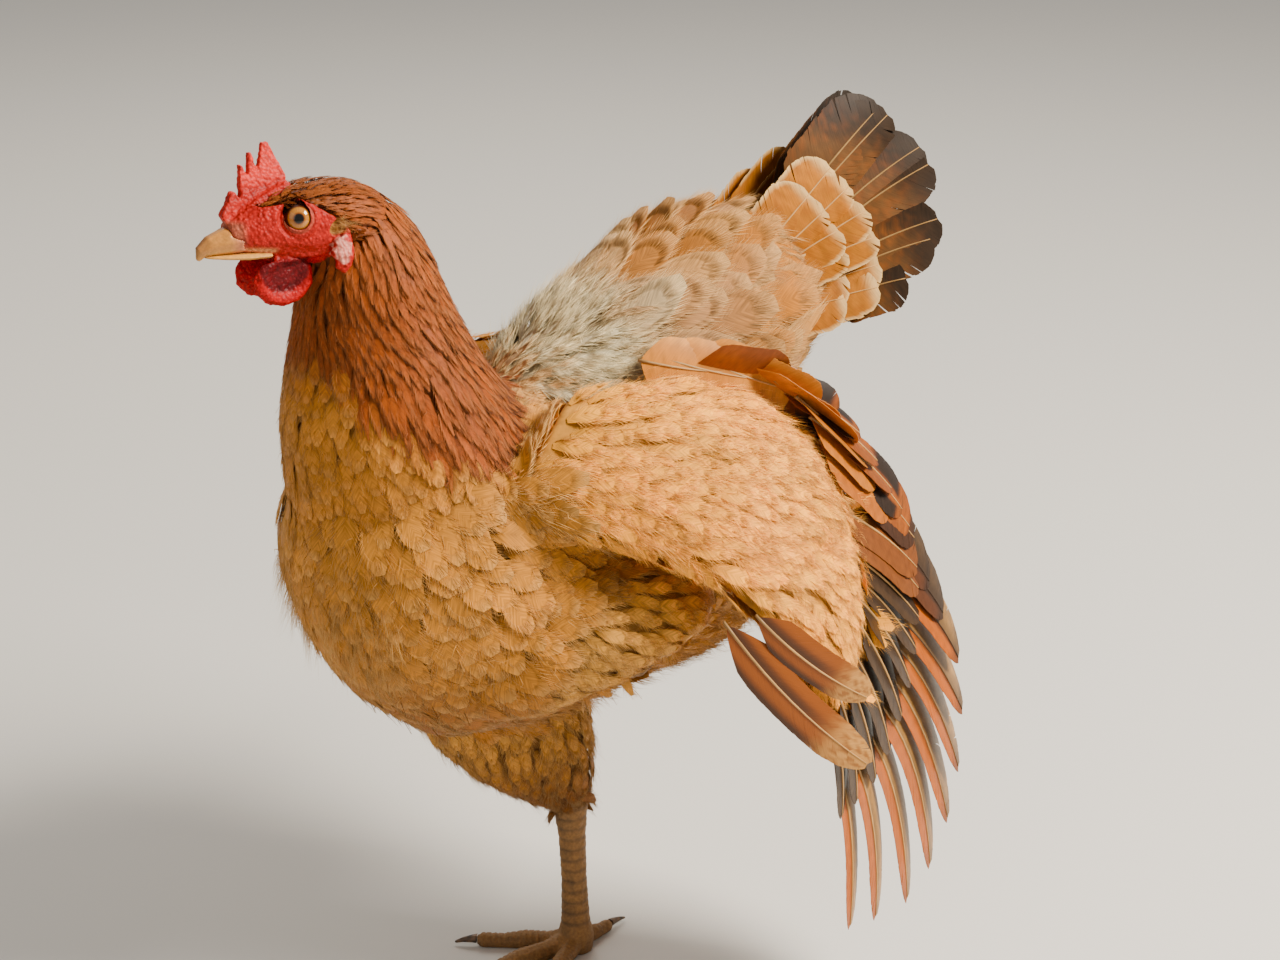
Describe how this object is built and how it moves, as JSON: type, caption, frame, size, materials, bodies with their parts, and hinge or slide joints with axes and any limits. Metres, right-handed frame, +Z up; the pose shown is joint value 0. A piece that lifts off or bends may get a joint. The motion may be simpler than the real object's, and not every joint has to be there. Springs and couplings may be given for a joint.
{
  "type": "laying hen",
  "caption": "Still life-size model of a buff-brown laying hen on her right leg, left foot tucked up and left wing stretched down and back.",
  "frame": {"origin": "on the floor, under the middle of the standing right shank, on the hen's midline", "axes": "+Z up; the hen faces -X and her left is -Y"},
  "size_m": [0.3823, 0.2565, 0.4313],
  "materials": {
    "buff_feather": "soft overlapping buff body feathers",
    "hackle_feather": "glossy rust-gold hackle feathers",
    "red_skin": "bare red skin with small raised grains",
    "bill_horn": "worn yellow horn",
    "leg_scale": "dull tan scutes and scales",
    "claw_horn": "dark worn horn",
    "eye": "wet and glossy, gold-orange iris round a black pupil",
    "flight_feather": "chestnut and grey-brown vanes with a satin sheen",
    "tail_feather": "dark brown vanes with pale shafts"
  },
  "bodies": {
    "root": {"trunk": "buff_feather", "neck": "hackle_feather", "saddle": "buff_feather", "head": "red_skin", "eye_left": "eye", "eye_right": "eye", "bill_upper": "bill_horn", "bill_lower": "bill_horn", "comb": "red_skin", "wattle_left": "red_skin", "wattle_right": "red_skin", "earlobe_left": "red_skin", "earlobe_right": "red_skin", "wing_left_arm": "buff_feather", "wing_left_hand": "flight_feather", "wing_left_secondaries": "flight_feather", "wing_left_primaries": "flight_feather", "wing_left_alula": "flight_feather", "wing_right_arm": "buff_feather", "wing_right_secondaries": "flight_feather", "wing_right_primaries": "flight_feather", "thigh_left": "buff_feather", "thigh_right": "buff_feather", "shank_left": "leg_scale", "shank_right": "leg_scale", "tail_left": "tail_feather", "tail_right": "tail_feather", "toe_left_inner": "leg_scale", "claw_left_inner": "claw_horn", "toe_left_middle": "leg_scale", "claw_left_middle": "claw_horn", "toe_left_outer": "leg_scale", "claw_left_outer": "claw_horn", "toe_left_back": "leg_scale", "claw_left_back": "claw_horn", "toe_right_inner": "leg_scale", "claw_right_inner": "claw_horn", "toe_right_middle": "leg_scale", "claw_right_middle": "claw_horn", "toe_right_outer": "leg_scale", "claw_right_outer": "claw_horn", "toe_right_back": "leg_scale", "claw_right_back": "claw_horn"}
  },
  "joints": []
}
